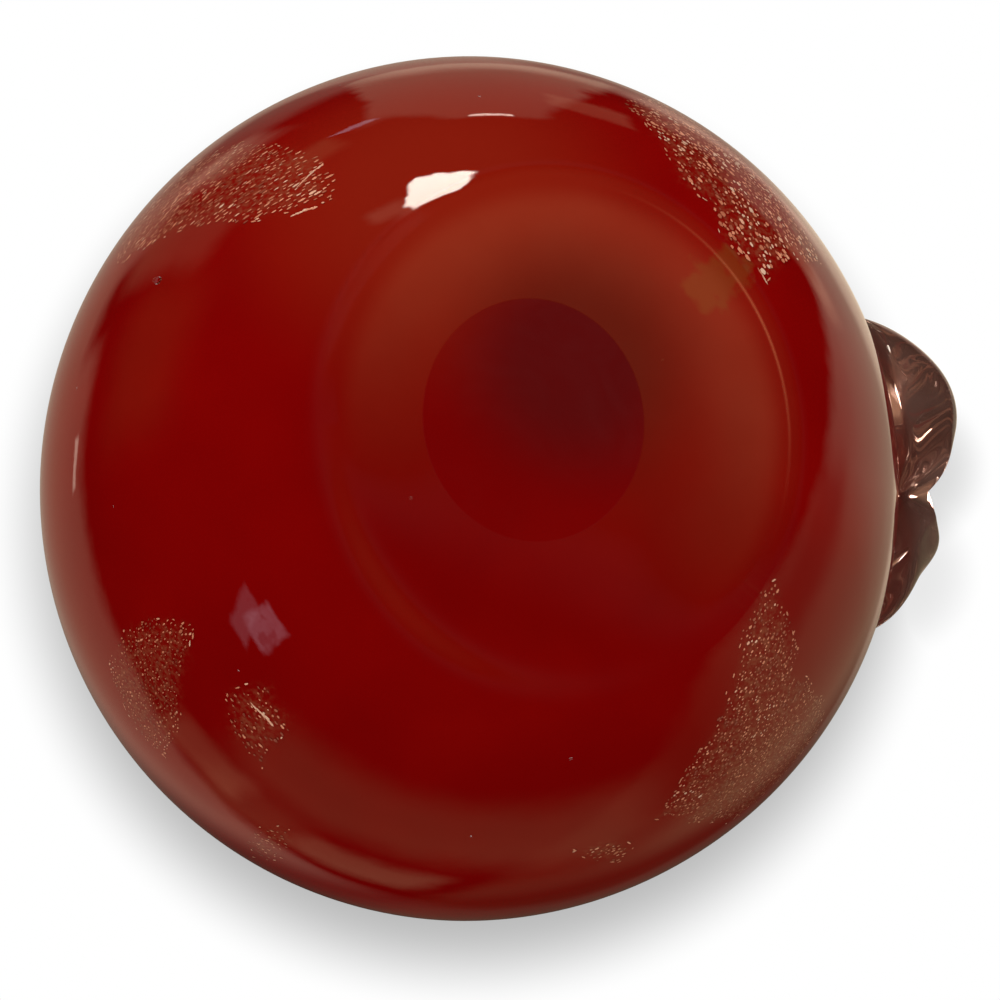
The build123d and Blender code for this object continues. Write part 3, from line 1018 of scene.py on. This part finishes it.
floor_shader = mixed_shader(floor_tree, floor_side, floor_top, floor_below.outputs["BSDF"])
put(floor_tree, "ShaderNodeOutputMaterial", {"Surface": floor_shader})
floor.visible_shadow = False
floor.visible_diffuse = False
floor.visible_glossy = False

scene.world = bpy.data.worlds.new("studio")
scene.world.use_nodes = True
room_tree = scene.world.node_tree
room_tree.nodes.clear()
room_place = put(room_tree, "ShaderNodeTexCoord", {}).outputs["Generated"]
room_ripple = clouds(room_tree, room_place, 5, 4, 0.62)["Color"]
ripple_shift = put(
    room_tree,
    "ShaderNodeVectorMath",
    {0: room_ripple, 1: (0.5, 0.5, 0.5)},
    operation="SUBTRACT",
)
room_way = put(
    room_tree,
    "ShaderNodeVectorMath",
    {0: ripple_shift.outputs["Vector"], 1: (0.09, 0.09, 0.09), 2: room_place},
    operation="MULTIPLY_ADD",
).outputs["Vector"]
room_axes = put(room_tree, "ShaderNodeSeparateXYZ", {"Vector": room_way}).outputs
room_value = partial(worked, room_tree)


def faded(value, low, high, start=0.0, end=1.0):
    """A smooth change from a start to an end as a value goes from low to high."""
    return spread_over(room_tree, value, low, high, start, end, "SMOOTHSTEP")


def leaning(x, y, z, start):
    """A start value that grows along the three axes."""
    total = start
    for axis, share in (("X", x), ("Y", y), ("Z", z)):
        total = room_value("MULTIPLY_ADD", room_axes[axis], share, total)
    return total


def panel(azimuth, elevation, wide, high, soft, slant=0.0):
    """A soft-edged panel of the room: its middle, half width and half height in degrees, and its slant."""
    turn = math.radians(azimuth)
    ahead = leaning(math.cos(turn), math.sin(turn), 0, 0)
    aside = leaning(-math.sin(turn), math.cos(turn), 0, 0)
    rise = room_value("SUBTRACT", room_value("ARCSINE", room_axes["Z"]), math.radians(elevation))
    across = room_value("MULTIPLY_ADD", rise, -slant, room_value("ARCTAN2", aside, ahead))
    wide, high, soft = math.radians(wide), math.radians(high), math.radians(soft)
    width_share = faded(room_value("ABSOLUTE", across), wide - soft, wide + soft, 1, 0)
    height_share = faded(room_value("ABSOLUTE", rise), high - soft, high + soft, 1, 0)
    return room_value("MULTIPLY", width_share, height_share)


right_wall = faded(leaning(1.286, 0.411, 1.0, -1.176), -0.02, 0.10)
low_dark = room_value("MULTIPLY_ADD", panel(8, 3, 16, 8, 6), -0.6, 1.0)
right_colour = colour_steps(
    room_tree,
    room_value("MULTIPLY_ADD", room_axes["Y"], 0.5, 0.5),
    (0.30, (0.48, 0.42, 0.31)),
    (0.44, (0.50, 0.42, 0.29)),
    (0.53, (0.29, 0.25, 0.155)),
    (0.74, (0.26, 0.21, 0.11)),
    (0.85, (0.07, 0.05, 0.024)),
)
ceiling_rise = room_value("MULTIPLY", room_value("MAXIMUM", leaning(0.5, 0.87, 0, 0), 0.0), -0.35)
ceiling = faded(room_value("ADD", ceiling_rise, room_axes["Z"]), 0.67, 0.76)
dark_places = (
    (panel(-99, 50, 12, 12, 4), 0.6),
    (panel(-140, 44, 8, 8, 4), 1.0),
    (panel(-60, 52, 6, 6, 4), 0.4),
)
for dark_place, depth in dark_places:
    ceiling = room_value("MULTIPLY", ceiling, room_value("MULTIPLY_ADD", dark_place, -depth, 1.0))
ceiling_colour = colour_steps(
    room_tree,
    room_value("MULTIPLY_ADD", room_axes["X"], 0.5, 0.5),
    (0.30, (0.40, 0.235, 0.160)),
    (0.48, (0.40, 0.300, 0.225)),
)
top_corner = room_value("SUBTRACT", 1.0, panel(-101, 17, 9, 6.5, 2.5, -0.9))
streaked = faded(clouds(room_tree, room_place, 16, 4)["Fac"], 0.34, 0.50, 0.5)
room_lights = [
    (room_value("MULTIPLY", right_wall, low_dark), right_colour),
    (panel(-43.5, 39, 6, 12, 3), (0.32, 0.20, 0.16)),
    (panel(-54, 43, 4.5, 9, 3), (0.34, 0.21, 0.16)),
    (panel(-33, 28, 5, 3.5, 2.5), (0.46, 0.24, 0.15)),
    (panel(-113, 44, 6, 6, 3), (0.34, 0.25, 0.17)),
    (ceiling, ceiling_colour),
    (panel(92, 23, 38, 11, 7), (0.20, 0.155, 0.078)),
    (panel(120, 46, 10, 8, 5), (0.14, 0.10, 0.05)),
    (panel(96, 47.5, 13, 5.5, 3.2), (0.30, 0.20, 0.11)),
    (panel(132, 42, 9.5, 6, 3), (0.36, 0.175, 0.095)),
    (panel(-132, 34, 6, 12, 4), (0.24, 0.145, 0.08)),
    (panel(-155, 24, 14, 10, 8), (0.09, 0.055, 0.018)),
    (room_value("MULTIPLY", panel(-82.6, 34, 14.6, 18.5, 1.3, 0.465), top_corner), (0.29, 0.24, 0.165)),
    (panel(-68, 27, 5.5, 3.2, 1.2), (0.24, 0.14, 0.08)),
    (panel(-111, 22, 4, 4, 2), (0.22, 0.14, 0.06)),
    (panel(-103, 24.7, 2.4, 0.9, 0.5, -1.2), (0.8, 0.75, 0.95)),
    (panel(-84.3, 16.3, 3.0, 0.5, 0.35), (6.0, 4.6, 3.8)),
    (panel(-168, 50, 4.5, 1.2, 0.7), (1.3, 1.0, 0.8)),
    (panel(149.6, 1.8, 3.2, 5.0, 1.0, -0.5), (0.55, 0.42, 0.50)),
    (room_value("MULTIPLY", panel(145, -2.8, 4.5, 5.2, 0.9), streaked), (1.1, 0.85, 1.05)),
    (panel(-112.5, -18, 4.5, 2.2, 1.6), (0.6, 0.45, 0.28)),
    (panel(-101.8, -14.0, 5.6, 4.3, 0.5, 0.7), (19.0, 17.6, 15.2)),
]
room_colour = (0.004, 0.003, 0.002)
for share, colour in room_lights:
    room_colour = put(
        room_tree,
        "ShaderNodeVectorMath",
        {0: share, 1: colour, 2: room_colour},
        operation="MULTIPLY_ADD",
    ).outputs["Vector"]


def shade_behind(right, up, near, far, level):
    """The backdrop's shade round a point of the picture, dark to a near angle and gone at a far one."""
    aim = (camera_right * right + camera_up * up - camera_back).normalized()
    turn = put(room_tree, "ShaderNodeVectorMath", {0: room_place, 1: aim}, operation="DOT_PRODUCT")
    near, far = math.cos(math.radians(near)), math.cos(math.radians(far))
    return faded(turn.outputs["Value"], far, near, 1.0, level)


def glow(colour, strength):
    """A room of one colour and strength."""
    light = {"Color": colour, "Strength": strength}
    return put(room_tree, "ShaderNodeBackground", light).outputs["Background"]


dim_behind = shade_behind(0.05, -0.45, 14, 30, 0.1)
room_mirrored = glow(room_colour, dim_behind)
body_shade = shade_behind(-0.0105, -0.0105, 7.31, 9.25, 0.5)
full_lobe_shade = shade_behind(0.1361, 0.0101, 0.3, 1.69, 0.69)
thin_lobe_shade = shade_behind(0.1328, -0.0252, 0.3, 1.69, 0.81)
leaf_shade = room_value("MULTIPLY", full_lobe_shade, thin_lobe_shade)
shade_level = room_value("MINIMUM", body_shade, leaf_shade)
room_seen = glow((1, 1, 1, 1), shade_level)
room_light = glow((1.0, 0.98, 0.96, 1), 0.40)
room_ray = put(room_tree, "ShaderNodeLightPath", {}).outputs
seen_share = room_value("MAXIMUM", room_ray["Is Camera Ray"], room_ray["Is Transmission Ray"])
room_plain = mixed_shader(room_tree, seen_share, room_light, room_seen)
room_whole = mixed_shader(room_tree, room_ray["Is Glossy Ray"], room_plain, room_mirrored)
put(room_tree, "ShaderNodeOutputWorld", {"Surface": room_whole})


def soft_lamp(name, place, width, watts, colour):
    """A square flat lamp at a place, turned to the middle of the apple."""
    lamp = bpy.data.lights.new(name, "AREA")
    lamp.size = width
    lamp.energy = watts
    lamp.color = colour
    holder = bpy.data.objects.new(name, lamp)
    scene.collection.objects.link(holder)
    ahead = body_middle - place
    holder.matrix_world = Matrix.Translation(place) @ ahead.to_track_quat("-Z", "Y").to_matrix().to_4x4()
    return holder


soft_lamp("overhead_lamp", body_middle - camera_back * 0.8, 0.2, 3.2, (1.0, 0.97, 0.93))
left_place = body_middle + Vector((-0.45, -0.62, -0.64)).normalized() * 0.9
right_place = body_middle + Vector((0.6, -0.2, -0.77)).normalized() * 0.9
rear_place = body_middle + Vector((-0.5, 0.85, 0.1)).normalized() * 0.9
hidden_lamps = (
    ("left_lamp_below", left_place, 3.3),
    ("right_lamp_below", right_place, 1.0),
    ("rear_lamp", rear_place, 1.3),
)
for name, place, watts in hidden_lamps:
    lamp = soft_lamp(name, place, 0.5, watts, (1.0, 0.98, 0.95))
    lamp.visible_glossy = False
    lamp.visible_camera = False
